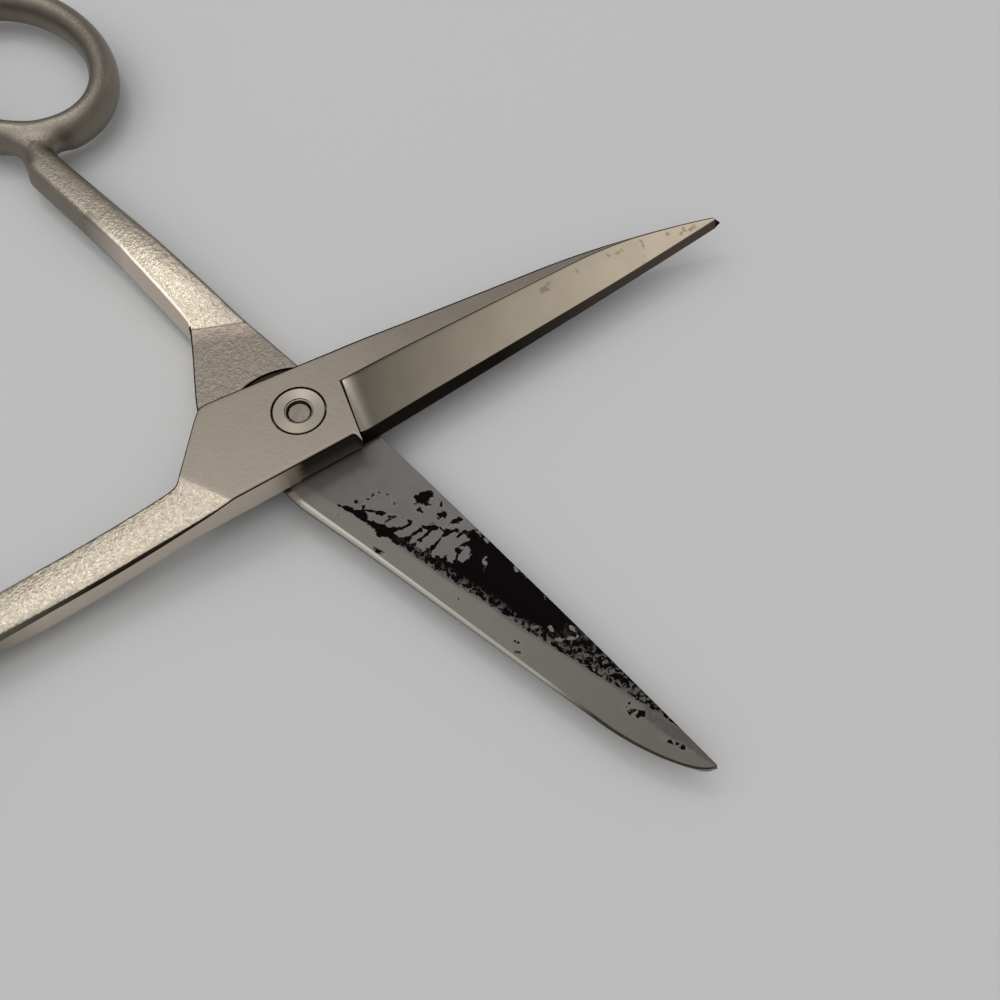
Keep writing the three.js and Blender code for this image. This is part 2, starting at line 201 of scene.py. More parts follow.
def handle_share(x, y, half, crease):
    return ease_out(share(past_crease(x, y, half, crease), 0, HANDLE_BLEND))


def camber(x, y, half, crease):
    """How far the shank's face has fallen away from its middle line."""
    off_middle = (y - side_line(x, half)) / (shank_width(x, half) / 2) - 1
    return SHANK_CAMBER * off_middle ** 2 * share(past_crease(x, y, half, crease), 0, CAMBER_RUN)


def inner_height(x, y, half):
    rise = SHANK_THICKNESS / 2 * handle_share(x, y, half, INNER_CREASE)
    return camber(x, y, half, INNER_CREASE) - rise


def outer_height(x, y, half):
    s, start = along_blade(x), THINNING_START
    thinned = (s * s / (2 * start) if s < start else s - start / 2) / (1 - start / 2)
    blade = between(HALF_THICKNESS, TIP_THICKNESS, thinned)
    height = between(blade, SHANK_THICKNESS / 2, handle_share(x, y, half, OUTER_CREASE))
    return height - camber(x, y, half, OUTER_CREASE)


def rounded(before, at, after, reaches, count):
    """Points of a rounded corner, which reaches some way along the line to each neighbour."""
    sides = zip((before, after), reaches)
    start, end = (at.lerp(to, min(reach / (to - at).length, CORNER_LIMIT)) for to, reach in sides)
    return [start.lerp(at, p / count).lerp(at.lerp(end, p / count), p / count) for p in range(count + 1)]


def half_section(x, half, ground):
    """One cross-section of a half at x: a finish and a (y, z) point for each place around it."""
    s = along_blade(x)
    edge = side_line(x, half)
    inside, outside = upper_line(x, half, 0), upper_line(x, half, 1)
    width = outside - edge

    def on_inner(y):
        strip = INNER_STRIP_HEEL + INNER_STRIP_SLOPE * x
        part = share(y, edge, max(strip, edge + HOLLOW_LEAST_WIDTH))
        run_in = share(x, 0, HEEL_X) * share(strip, edge, edge + HOLLOW_RUN)
        sag = INNER_HOLLOW * 4 * part * (1 - part) * run_in
        return Vector((y, inner_height(x, y, half) + sag))

    def on_outer(y):
        return Vector((y, outer_height(x, y, half)))

    rounding = ease_out(share(-x, -OUTER_CREASE_X, HANDLE_BLEND - OUTER_CREASE_X))
    blade_limit = between(FACE_LIMIT, NOSE_FACE_LIMIT, share(s, NOSE_START, NOSE_FULL))
    face_limit = edge + between(blade_limit, SHANK_FACE_LIMIT, rounding) * width
    grind = min(between(GRIND_HEEL, GRIND_TOE, s), face_limit)
    bevel_width = min(between(BEVEL_WIDTH, BEVEL_TIP_WIDTH, s), BEVEL_LIMIT * width)
    fall = between(FACE_SLOPE, FACE_TIP_SLOPE, s) * (grind - edge - bevel_width)
    bevel_height = max(between(BEVEL_HEIGHT, BEVEL_TIP_HEIGHT, s), on_outer(grind).y - fall)
    bevel_top = Vector((edge + bevel_width, bevel_height))
    edge_inner, spine_inner, spine_outer = on_inner(edge), on_inner(inside), on_outer(outside)
    edge_outer = on_outer(edge).lerp(bevel_top, ground)
    if x <= HEEL_X:
        edge_outer.x -= LIP_DROP * share(x, HEEL_X - LIP_RUN, HEEL_X) ** 2

    strip_edge = on_outer(grind)
    face_top = on_outer(grind - GRIND_STEP)
    face_top.y -= GRIND_STEP * ground * (1 - s)

    late_rounding = share(-x, SPINE_ROUND_START, SPINE_ROUND_START + HANDLE_BLEND)

    def bead_reach(on_blade, on_shank):
        tapered = on_blade * between(1, BEAD_TIP_SHARE, s)
        blade = between(BOSS_CORNER, tapered, share(x, BEAD_START, BEAD_FULL))
        past = past_crease(x, inside, half, INNER_CREASE)
        return between(between(blade, on_shank, share(past, 0, SHANK_BEAD_RUN)), SHANK_CORNER, late_rounding)

    bead = bead_reach(BEAD_WIDTH, SHANK_BEAD_WIDTH), bead_reach(BEAD_DROP, SHANK_BEAD_DROP)
    small = between(BOSS_CORNER, EDGE_RADIUS, ground)
    drop = between(SHANK_CORNER_DROP, SHANK_CORNER, late_rounding)
    over_face, down_side = between(small, SHANK_CORNER, rounding), between(small, drop, rounding)
    over_inner = between(small, between(INNER_CORNER, SHANK_CORNER, late_rounding), rounding)
    foot = between(between(FOOT_CORNER, EDGE_RADIUS, ground), drop, rounding)
    outer_corner = [between(OUTER_CORNER, SHANK_CORNER, late_rounding)] * 2
    edge_turn = rounded(edge_outer, edge_inner, spine_inner, (foot, over_inner), CORNER_FACES)
    bead_turn = rounded(edge_inner, spine_inner, spine_outer, bead, BEAD_FACES)
    spine_turn = rounded(spine_inner, spine_outer, strip_edge, outer_corner, CORNER_FACES)
    bevel_turn = rounded(face_top, edge_outer, edge_inner, (over_face, down_side), CORNER_FACES)

    corner, inner_start, inner_end = bevel_turn[0], edge_turn[-1], bead_turn[0]
    sunk = corner.y - on_outer(corner.x).y
    start_sunk, end_sunk = (end.y - on_inner(end.x).y for end in (inner_start, inner_end))

    def inner_face(part):
        point = on_inner(between(inner_start.x, inner_end.x, part))
        point.y += between(start_sunk, end_sunk, part)
        return point

    def hollow(part):
        flat = on_outer(between(face_top.x, corner.x, part))
        flat.y += sunk * part
        sag = HOLLOW_SAG * 4 * part * (1 - part) * (1 - s)
        low = Vector((flat.x, between(face_top.y, corner.y, part) - sag))
        return flat.lerp(low, ground)

    strip_start = spine_turn[-1].x
    points = [("edge" if i < 2 else "side", p) for i, p in enumerate(edge_turn[:-1])]
    across = half["across"]
    points += [("inner", inner_face(i / across)) for i in range(across)]
    points += [("bead", p) for p in bead_turn[:-1]]
    points += [("spine", bead_turn[-1].lerp(spine_turn[0], i / SPINE_FACES)) for i in range(SPINE_FACES)]
    points += [("rim", p) for p in spine_turn[:-1]]
    strip_places = (between(strip_start, strip_edge.x, i / STRIP_FACES) for i in range(STRIP_FACES))
    points += [("strip", on_outer(y)) for y in strip_places]
    points += [("line", strip_edge), ("face", strip_edge.lerp(face_top, 0.5)), ("face", face_top)]
    points += [("face", hollow(i / GROUND_FACES)) for i in range(1, GROUND_FACES)]
    points += [("shoulder" if i < 3 else "turn", p) for i, p in enumerate(bevel_turn[:-1])]
    points += [("bevel", bevel_turn[-1].lerp(edge_turn[0], i / BEVEL_FACES)) for i in range(BEVEL_FACES)]
    return points


def bow_join(half):
    """Where the middle of the shank meets the bow's middle line."""
    middle = side_line(BOW_X + BOW_LINE_X + BOW_WIDTH / 2, half) + shank_width(BOW_X, half) / 2
    return BOW_X + BOW_LINE_X * math.sqrt(1 - ((middle - BOW_Y) / BOW_LINE_Y) ** 2)


def into_bow(x, half, points):
    """Past that place the shank's section follows the bow and shrinks, to end inside the ring."""
    join = bow_join(half)
    weight = ease_both(share(-x, -join - 2 * BOW_WIDTH, BOW_WIDTH - join))
    if weight == 0:
        return points
    along = min(max((x - BOW_X) / BOW_LINE_X, -1), 1)
    line = Vector((BOW_Y + BOW_LINE_Y * math.sqrt(1 - along * along), 0))
    low = Vector(min(p[i] for _, p in points) for i in (0, 1))
    high = Vector(max(p[i] for _, p in points) for i in (0, 1))
    scale = [SHANK_END_SHARE * size / (high[i] - low[i]) for i, size in enumerate((BOW_WIDTH, BOW_THICKNESS))]
    middle = (low + high) / 2

    def shrunk(p):
        return line + Vector(((p.x - middle.x) * scale[0], (p.y - middle.y) * scale[1]))

    return [(finish, p.lerp(shrunk(p), weight)) for finish, p in points]


def stations(half):
    """Places of the cross-sections along a half, each with how far it is ground to the blade's faces."""
    start = bow_join(half) - BOW_WIDTH
    blade_start = HEEL_X + HEEL_FILLET
    nose_start = BLADE_LENGTH - half["nose"]
    last_turn = math.acos(half["end"] ** (0.5 / half["power"]))
    rows = [(x, 0) for x in np.arange(start, PEBBLES_START, ROUND_STEP)]
    rows += [(x, 0) for x in np.arange(PEBBLES_START, OUTER_CREASE_X, SKIN_STEP)]
    rows += [(x, 0) for x in np.arange(OUTER_CREASE_X, HEEL_X - LIP_RUN, BOSS_STEP)]
    rows += [(HEEL_X - LIP_RUN * (1 - i / LIP_STEPS), 0) for i in range(LIP_STEPS + 1)]
    for i in range(1, FILLET_STEPS + 1):
        part = i / FILLET_STEPS
        rows.append((HEEL_X + HEEL_FILLET * part ** 2, between(HEEL_WALL_SHARE, 1, 1 - (1 - part) ** 3)))
    rows += [(x, 1) for x in np.arange(blade_start + half["step"], FLAKES_END, half["step"])]
    rows += [(x, 1) for x in np.arange(FLAKES_END, nose_start, BLADE_STEP)]
    turns = (last_turn * i / NOSE_STEPS for i in range(NOSE_STEPS + 1))
    rows += [(nose_start + half["nose"] * math.sin(turn), 1) for turn in turns]
    return rows


def heel_shift(x, y, half):
    """The heel's step leans over the boss, so places near it shift along the blade."""
    near = 1 - share(abs(x - HEEL_X), 0, EDGE_DROP + half["rise"])
    return HEEL_SLANT * (y + half["side"]) * ease_both(near)


def finish_of(place, x, half):
    """Which finish a place on a half has."""
    # The dark finish is painted shade: thin lines along corners, the grind line, the heel's step and the
    # contact with the other half.
    if x < PEBBLES_START:
        return "skin"
    if place == "inner" or place == "side" and x > HEEL_X:
        return "inner" if x > 0 else "skin"
    if place == "bead":
        if past_crease(x, 0, half, INNER_CREASE) > 0:
            return "flank"
        return "bead" if BEAD_START < x < BEAD_END else "dark"
    if place == "edge":
        return "inner" if x > HEEL_X else "dark" if x > BEAD_START else "flank"
    if place == "rim":
        return "dark" if x > -SPINE_ROUND_START else "skin"
    if place == "face" and HEEL_X <= x < HEEL_X + HEEL_LINE:
        return "dark"
    if place == "turn" and x <= HEEL_X - LIP_CLEAR:
        return "dark"
    if x >= HEEL_X:
        blade = {"line": "dark", "face": "face", "bevel": "bevel", "shoulder": "bevel", "turn": "bevel"}
        return blade.get(place, "skin")
    return {"bevel": "flank", "spine": "flank"}.get(place, "skin")


FINISHES = ("skin", "face", "bevel", "inner", "bead", "dark", "flank")


def into_piece(shape, name):
    """Turns a drawn shape's faces outwards and makes it an object of the scene."""
    bmesh.ops.recalc_face_normals(shape, faces=shape.faces)
    mesh = bpy.data.meshes.new(name)
    shape.to_mesh(mesh)
    shape.free()
    piece = bpy.data.objects.new(name, mesh)
    bpy.context.scene.collection.objects.link(piece)
    return piece


def blade_and_shank(half, name):
    shape = bmesh.new()
    rings = []
    for x, ground in stations(half):
        section = into_bow(x, half, half_section(x, half, ground))
        ring = [shape.verts.new((x + heel_shift(x, p.x, half), p.x, p.y)) for _, p in section]
        rings.append((x, [place for place, _ in section], ring))
    for (x, places, ring), (_, _, after) in zip(rings, rings[1:]):
        for i in range(len(ring)):
            j = (i + 1) % len(ring)
            face = shape.faces.new((ring[i], ring[j], after[j], after[i]))
            face.material_index = FINISHES.index(finish_of(places[i], x, half))
    for ring, end, flip in ((rings[0][2], None, True), (rings[-1][2], half["tip"], False)):
        middle = sum((v.co for v in ring), Vector()) / len(ring)
        point = (middle.x, middle.y, middle.z) if end is None else (end, 0, half["point"])
        top = shape.verts.new(point)
        for i in range(len(ring)):
            a, b = ring[i], ring[(i + 1) % len(ring)]
            face = shape.faces.new((top, b, a) if flip else (top, a, b))
            face.material_index = FINISHES.index("skin" if flip else half["cap"])
    return into_piece(shape, name)


def add(tree, kind, inputs=(), **settings):
    """Adds a node with its settings. inputs gives each socket a value, or an output to be linked to."""
    node = tree.nodes.new(kind)
    for name, value in settings.items():
        setattr(node, name, value)
    for key, value in dict(inputs).items():
        if isinstance(value, bpy.types.NodeSocket):
            tree.links.new(value, node.inputs[key])
        else:
            node.inputs[key].default_value = value
    return node


def settle(piece):
    """Turns a piece with its modifiers into a plain mesh."""
    evaluated = piece.evaluated_get(bpy.context.evaluated_depsgraph_get())
    mesh = bpy.data.meshes.new_from_object(evaluated)
    piece.modifiers.clear()
    piece.data = mesh
    return piece


def combine(piece, tool, operation):
    """Joins a tool shape to a piece or cuts it out, and removes the tool shape."""
    cut = piece.modifiers.new("combine", "BOOLEAN")
    cut.object, cut.operation, cut.solver = tool, operation, "EXACT"
    settle(piece)
    bpy.data.objects.remove(tool)


def new_tree(name, sizes):
    """A Geometry Nodes tree with a mesh in, a mesh out and named sizes."""
    tree = bpy.data.node_groups.new(name, "GeometryNodeTree")
    tree.interface.new_socket("Geometry", in_out="INPUT", socket_type="NodeSocketGeometry")
    tree.interface.new_socket("Geometry", in_out="OUTPUT", socket_type="NodeSocketGeometry")
    for size in sizes:
        tree.interface.new_socket(size, in_out="INPUT", socket_type="NodeSocketFloat")
    tree.interface.new_socket("Finish", in_out="INPUT", socket_type="NodeSocketMaterial")
    return tree, tree.nodes.new("NodeGroupInput"), tree.nodes.new("NodeGroupOutput")


def run_tree(piece, tree, values):
    modifier = piece.modifiers.new(tree.name, "NODES")
    modifier.node_group = tree
    for socket in tree.interface.items_tree:
        if socket.in_out == "INPUT" and socket.name in values:
            modifier[socket.identifier] = values[socket.name]
    return settle(piece)


# The bow's ring: an oval section swept round an oval line
bow_tree, given, result = new_tree(
    "oval_bow", ("Line Length", "Line Width", "Ring Width", "Ring Thickness", "Centre X", "Centre Y")
)
values = given.outputs
line_scale = add(bow_tree, "ShaderNodeCombineXYZ", {0: values["Line Length"], 1: values["Line Width"]})
line_place = add(bow_tree, "ShaderNodeCombineXYZ", {0: values["Centre X"], 1: values["Centre Y"]})
ring_scale = add(bow_tree, "ShaderNodeCombineXYZ", {0: values["Ring Width"], 1: values["Ring Thickness"]})
line_circle = add(bow_tree, "GeometryNodeCurvePrimitiveCircle", {"Resolution": 160, "Radius": 0.5})
ring_circle = add(bow_tree, "GeometryNodeCurvePrimitiveCircle", {"Resolution": 36, "Radius": 0.5})
line = add(
    bow_tree, "GeometryNodeTransform",
    {"Geometry": line_circle.outputs[0], "Translation": line_place.outputs[0],
     "Scale": line_scale.outputs[0]},
)
section = add(
    bow_tree, "GeometryNodeTransform", {"Geometry": ring_circle.outputs[0], "Scale": ring_scale.outputs[0]}
)
even_line = add(bow_tree, "GeometryNodeResampleCurve", {"Curve": line.outputs[0], "Count": 160})
ring = add(
    bow_tree, "GeometryNodeCurveToMesh", {"Curve": even_line.outputs[0], "Profile Curve": section.outputs[0]}
)
whole = add(bow_tree, "GeometryNodeRealizeInstances", {0: ring.outputs[0]})
faced = add(bow_tree, "GeometryNodeSetMaterial", {"Geometry": whole.outputs[0], "Material": values["Finish"]})
bow_tree.links.new(faced.outputs[0], result.inputs[0])

# The forged skin: low pebbles left by the dies, standing out of the surface where it was not ground
skin_tree, given, result = new_tree("forged_skin", ("Pebble Size", "Pebble Depth", "Seed"))
place = add(skin_tree, "GeometryNodeInputNamedAttribute", {"Name": "place"}, data_type="FLOAT_VECTOR")
forged = add(skin_tree, "GeometryNodeInputNamedAttribute", {"Name": "forged"}, data_type="FLOAT")
fineness = add(skin_tree, "ShaderNodeMath", {0: 1.0, 1: given.outputs["Pebble Size"]}, operation="DIVIDE")
pebbles = add(
    skin_tree, "ShaderNodeTexNoise",
    {"Vector": place.outputs["Attribute"], "W": given.outputs["Seed"], "Scale": fineness.outputs[0],
     "Detail": 3.0, "Roughness": 0.65},
    noise_dimensions="4D",
)
swell = add(skin_tree, "ShaderNodeMath", {0: pebbles.outputs[0], 1: 0.5}, operation="SUBTRACT")
height = swell.outputs[0]
for factor in (given.outputs["Pebble Depth"], forged.outputs["Attribute"]):
    height = add(skin_tree, "ShaderNodeMath", {0: height, 1: factor}, operation="MULTIPLY").outputs[0]
normal = add(skin_tree, "GeometryNodeInputNormal")
rise = add(skin_tree, "ShaderNodeVectorMath", {0: normal.outputs[0], "Scale": height}, operation="SCALE")
pushed = add(
    skin_tree, "GeometryNodeSetPosition", {"Geometry": given.outputs["Geometry"], "Offset": rise.outputs[0]}
)
whole = add(skin_tree, "GeometryNodeRealizeInstances", {0: pushed.outputs[0]})
skin_tree.links.new(whole.outputs[0], result.inputs[0])

FULL_TURN, CUT_MARGIN = 2 * math.pi, 1


def lathe(name, profile, steps=96, end_angle=FULL_TURN, closed=False):
    """A round shape through (radius, z) points: whole or a sector, with flat ends or closed to a ring."""
    shape = bmesh.new()
    count = steps if end_angle == FULL_TURN else steps + 1
    rows = []
    for radius, z in profile:
        turns = [i / steps * end_angle for i in range(count if radius > 0 else 1)]
        rows.append([shape.verts.new((radius * math.cos(t), radius * math.sin(t), z)) for t in turns])
    for low, high in zip(rows, rows[1:] + rows[:1] if closed else rows[1:]):
        for i in range(count):
            j = (i + 1) % count
            corners = [low[i % len(low)], low[j % len(low)], high[j % len(high)], high[i % len(high)]]
            shape.faces.new(list(dict.fromkeys(corners)))
    for end in (rows[0][::-1], rows[-1]):
        if len(end) > 1 and not closed:
            shape.faces.new(end)
    return into_piece(shape, name)


def linear(code):
    """An sRGB hex colour as linear red, green, blue and alpha."""
    parts = [int(code[i : i + 2], 16) / 255 for i in (1, 3, 5)]
    return (*(c / 12.92 if c <= 0.04045 else ((c + 0.055) / 1.055) ** 2.4 for c in parts), 1.0)


def new_material(name, **sockets):
    material = bpy.data.materials.new(name)
    material.use_nodes = True
    tree = material.node_tree
    shader = tree.nodes["Principled BSDF"]
    for socket, value in sockets.items():
        shader.inputs[socket.replace("_", " ")].default_value = value
    return material, tree, shader


# Forged carbon steel, satin-ground on the boss and along the spine. The ground metal is warm grey with
# faint clouds and specks; the forged skin is paler and sparkles on pebbles about a millimetre across. Across
# the shank its paleness is partly a painted highlight; a pale patch just before the crease is a painted
# highlight, and a thin dark line along the crease is painted shade.
steel_skin, tree, shader = new_material("forged_and_satin_ground_steel", Metallic=1.0)
place = add(tree, "ShaderNodeAttribute", attribute_name="place").outputs["Vector"]
layers = (add(tree, "ShaderNodeAttribute", attribute_name=name) for name in ("forged", "pale", "past"))
forged, pale, past = (layer.outputs["Fac"] for layer in layers)
clouds, grit = (
    add(tree, "ShaderNodeTexNoise", {"Vector": place, "Scale": 1 / size, "Detail": detail}).outputs[0]
    for size, detail in ((5, 4.0), (0.35, 3.0))
)
flecks = add(tree, "ShaderNodeMix", {0: 0.45, 2: clouds, 3: grit}).outputs[0]
ground_colour, forged_colour = (
    add(tree, "ShaderNodeMix", {0: part, 6: linear(dark), 7: linear(light)}, data_type="RGBA").outputs[2]
    for part, dark, light in ((flecks, "#756d64", "#8c8479"), (grit, "#8e8576", "#c2b8a7"))
)
# The pale layer mixes in the forged skin's colour; across the shank it is partly a painted highlight.
colour = add(
    tree, "ShaderNodeMix", {0: pale, 6: ground_colour, 7: forged_colour}, data_type="RGBA"
).outputs[2]
# Painted highlight: a pale patch on the boss just before the crease.
painted_crease_highlight = add(tree, "ShaderNodeMapRange", {0: past, 1: -3.5, 2: -0.2, 4: 0.8}).outputs[0]
before = add(tree, "ShaderNodeMath", {0: past, 1: 0.0}, operation="LESS_THAN").outputs[0]
for factor in (before, forged):
    painted_crease_highlight = add(tree, "ShaderNodeMath", {0: painted_crease_highlight, 1: factor}, operation="MULTIPLY").outputs[0]
# Painted shade: a thin dark line along the crease.
crease = add(tree, "ShaderNodeMath", {0: past, 1: 0.1, 2: 0.12}, operation="COMPARE").outputs[0]
crease = add(tree, "ShaderNodeMath", {0: crease, 1: forged}, operation="MULTIPLY").outputs[0]
for part, tone in ((painted_crease_highlight, "#b9a798"), (crease, "#5e564d")):
    colour = add(tree, "ShaderNodeMix", {0: part, 6: colour, 7: linear(tone)}, data_type="RGBA").outputs[2]
wrinkles = add(
    tree, "ShaderNodeTexNoise", {"Vector": place, "Scale": 1 / 0.6, "Detail": 2.0, "Distortion": 0.6}
).outputs[0]
shade = add(tree, "ShaderNodeMapRange", {0: wrinkles, 1: 0.35, 2: 0.65, 3: 0.86, 4: 1.12}).outputs[0]
shade = add(tree, "ShaderNodeMix", {0: forged, 2: 1.0, 3: shade}).outputs[0]
colour = add(
    tree, "ShaderNodeMix", {0: 1.0, 6: colour, 7: shade}, data_type="RGBA", blend_type="MULTIPLY"
).outputs[2]
tree.links.new(colour, shader.inputs["Base Color"])
dull = add(tree, "ShaderNodeMapRange", {0: clouds, 3: 0.38, 4: 0.46}).outputs[0]
sheen = add(tree, "ShaderNodeMapRange", {0: pale, 3: 1.0, 4: 0.5}).outputs[0]
dull = add(tree, "ShaderNodeMath", {0: dull, 1: sheen}, operation="MULTIPLY").outputs[0]
tree.links.new(dull, shader.inputs["Roughness"])
rough = add(tree, "ShaderNodeMath", {0: grit, 1: wrinkles}, operation="ADD").outputs[0]
graze = add(tree, "ShaderNodeMapRange", {0: forged, 3: 0.1, 4: 0.6}).outputs[0]
bump = add(tree, "ShaderNodeBump", {"Strength": graze, "Distance": 0.13 * MM, "Height": rough}).outputs[0]
tree.links.new(bump, shader.inputs["Normal"])

# Carbon steel hollow-ground on a wheel: a painted highlight in the heel's fillet, olive grey beside it, warm
# and paler towards the point, with a few brown and green-grey stains from damp hands. The change from dark by
# the heel to pale towards the point is partly the steel's tone and partly painted reflection.
steel_face, tree, shader = new_material("hollow_ground_steel", Metallic=1.0)
place = add(tree, "ShaderNodeAttribute", attribute_name="place").outputs["Vector"]
along = add(tree, "ShaderNodeSeparateXYZ", {0: place}).outputs[0]
# Partly painted reflection: the face darkens towards the heel and pales towards the point.
toward_tip = add(tree, "ShaderNodeMapRange", {0: along, 1: HEEL_X, 2: 0.9 * BLADE_LENGTH}).outputs[0]
colour = add(
    tree, "ShaderNodeMix", {0: toward_tip, 6: linear("#46443c"), 7: linear("#beb19d")}, data_type="RGBA"
).outputs[2]
across = add(tree, "ShaderNodeSeparateXYZ", {0: place}).outputs[1]
from_heel = add(
    tree, "ShaderNodeMath", {0: across, 1: -HEEL_SLANT, 2: along}, operation="MULTIPLY_ADD"
).outputs[0]
# Painted highlight in the heel's fillet, brightest beside the heel's step and fading along the blade.
HEEL_HIGHLIGHT_START, HEEL_HIGHLIGHT_END, HEEL_HIGHLIGHT_FADE = 0.2, 3.2, 2.5
heel_foot = HEEL_X + HEEL_SLANT * FRONT["side"]
near_heel = {0: from_heel, 1: heel_foot + HEEL_HIGHLIGHT_START, 2: heel_foot + HEEL_HIGHLIGHT_END, 3: 1.0, 4: 0.0}
painted_heel_highlight = add(tree, "ShaderNodeMapRange", near_heel).outputs[0]
painted_heel_highlight = add(tree, "ShaderNodeMath", {0: painted_heel_highlight, 1: HEEL_HIGHLIGHT_FADE}, operation="POWER").outputs[0]
colour = add(
    tree, "ShaderNodeMix", {0: painted_heel_highlight, 6: colour, 7: linear("#e2d6c8")}, data_type="RGBA"
).outputs[2]
clouds = add(tree, "ShaderNodeTexNoise", {"Vector": place, "Scale": 1 / 4, "Detail": 5.0}).outputs[0]
shade = add(tree, "ShaderNodeMapRange", {0: clouds, 1: 0.3, 2: 0.7, 3: 0.93, 4: 1.05}).outputs[0]
colour = add(
    tree, "ShaderNodeMix", {0: 1.0, 6: colour, 7: shade}, data_type="RGBA", blend_type="MULTIPLY"
).outputs[2]
stain = add(tree, "ShaderNodeAttribute", attribute_name="scale").outputs["Fac"]
ragged = add(tree, "ShaderNodeTexNoise", {"Vector": place, "Scale": 1 / 0.6, "Detail": 4.0}).outputs[0]
reach = add(tree, "ShaderNodeMapRange", {0: ragged, 3: -0.5, 4: 0.5}).outputs[0]
edge = add(tree, "ShaderNodeMath", {0: stain, 1: reach}, operation="ADD").outputs[0]
spotted = add(tree, "ShaderNodeMapRange", {0: edge, 1: -0.12, 2: 0.12, 4: 0.6}).outputs[0]
colour = add(
    tree, "ShaderNodeMix", {0: spotted, 6: colour, 7: linear("#6c6152")}, data_type="RGBA"
).outputs[2]
tree.links.new(colour, shader.inputs["Base Color"])
dull = add(tree, "ShaderNodeMapRange", {0: clouds, 3: 0.32, 4: 0.4}).outputs[0]
tree.links.new(dull, shader.inputs["Roughness"])


def graded_steel(name, start, end, first, last, **sockets):
    """Steel whose colour changes along a half, from x = start to x = end."""
    material, tree, shader = new_material(name, Metallic=1.0, **sockets)
    place = add(tree, "ShaderNodeAttribute", attribute_name="place").outputs["Vector"]
    along = add(tree, "ShaderNodeSeparateXYZ", {0: place}).outputs[0]
    change = add(tree, "ShaderNodeMapRange", {0: along, 1: start, 2: end}).outputs[0]
    colours = {0: change, 6: linear(first), 7: linear(last)}
    colour = add(tree, "ShaderNodeMix", colours, data_type="RGBA").outputs[2]
    tree.links.new(colour, shader.inputs["Base Color"])
    return material


# The same steel whetted to a steep bevel: near-black, partly from use and partly a painted dark reflection,
# and a little paler towards the point.
steel_bevel = graded_steel(
    "whetted_bevel_steel", 30, 66, "#241f1b", "#665d55", Roughness=0.3, Specular_Tint=linear("#4a443e")
)
# The spine's rounded bead, polished by the grinder's last pass: a pale bright line, partly a painted
# highlight, which fades to dark at the nose.
steel_bead = graded_steel("polished_bead_steel", 49, 57, "#7d7972", "#2e2925", Roughness=0.33)
# Painted shade: a thin brown-black line along corners, steps and recesses around each face, where shade
# falls.
# It fades to the skin's grey by the bows.
steel_dark = graded_steel(
    "oxidised_corner_steel", PEBBLES_START, -34, "#817a6f", "#332b24", Roughness=0.45,
    Specular_Tint=linear("#4a443e"),
)

# Draw-filed sides of the boss and the shank: smooth and pale, with a painted dark reflection beside the heel,
# darkest towards the top.
steel_flank, tree, shader = new_material("draw_filed_steel", Metallic=1.0, Roughness=0.36)
place = add(tree, "ShaderNodeAttribute", attribute_name="place").outputs["Vector"]
parts = add(tree, "ShaderNodeSeparateXYZ", {0: place})
waver = add(tree, "ShaderNodeTexNoise", {"Vector": place, "Scale": 1 / 1.6, "Detail": 4.0}).outputs[0]
shift = add(tree, "ShaderNodeMapRange", {0: waver, 3: -1.0, 4: 1.0}).outputs[0]
along = add(tree, "ShaderNodeMath", {0: parts.outputs[0], 1: shift}, operation="ADD").outputs[0]
# Painted shade and reflection: the side darkens beside the heel, more towards its top.
heel_side_shade = add(tree, "ShaderNodeMapRange", {0: along, 1: -4.7, 2: -3.0}).outputs[0]
high = add(tree, "ShaderNodeMapRange", {0: parts.outputs[2], 1: 0.6, 2: 3.2, 3: 0.65, 4: 1.0}).outputs[0]
painted_dark_reflection = add(tree, "ShaderNodeMath", {0: heel_side_shade, 1: high}, operation="MULTIPLY").outputs[0]
colour = add(
    tree, "ShaderNodeMix", {0: painted_dark_reflection, 6: linear("#d2c6b8"), 7: linear("#453d35")}, data_type="RGBA"
).outputs[2]
kept = add(tree, "ShaderNodeMapRange", {0: parts.outputs[0], 1: PEBBLES_START, 2: -42}).outputs[0]
colour = add(tree, "ShaderNodeMix", {0: kept, 6: linear("#817a6f"), 7: colour}, data_type="RGBA").outputs[2]
tree.links.new(colour, shader.inputs["Base Color"])

# Carbon steel ground flat in a strip along the spine and hollow beside it. The hollow keeps the black scale
# of the forge, flaked off in patches by the heel and worn to a brown mottle towards the point.
steel_inner, tree, shader = new_material("scaled_hollow_steel", Roughness=0.48)
place = add(tree, "ShaderNodeAttribute", attribute_name="place").outputs["Vector"]
names = ("scale", "strip", "mottle", "stain")
layers = (add(tree, "ShaderNodeAttribute", attribute_name=name) for name in names)
scale, strip, mottle, stain = (layer.outputs["Fac"] for layer in layers)
clouds, ragged, brown = (
    add(tree, "ShaderNodeTexNoise", {"Vector": place, "Scale": 1 / size, "Detail": detail}).outputs[0]
    for size, detail in ((3, 5.0), (0.9, 5.0), (0.8, 3.0))
)
fine = add(
    tree, "ShaderNodeTexNoise",
    {"Vector": place, "Scale": 1 / 0.75, "Detail": 4.0, "Roughness": 0.62, "Distortion": 0.8},
).outputs[0]

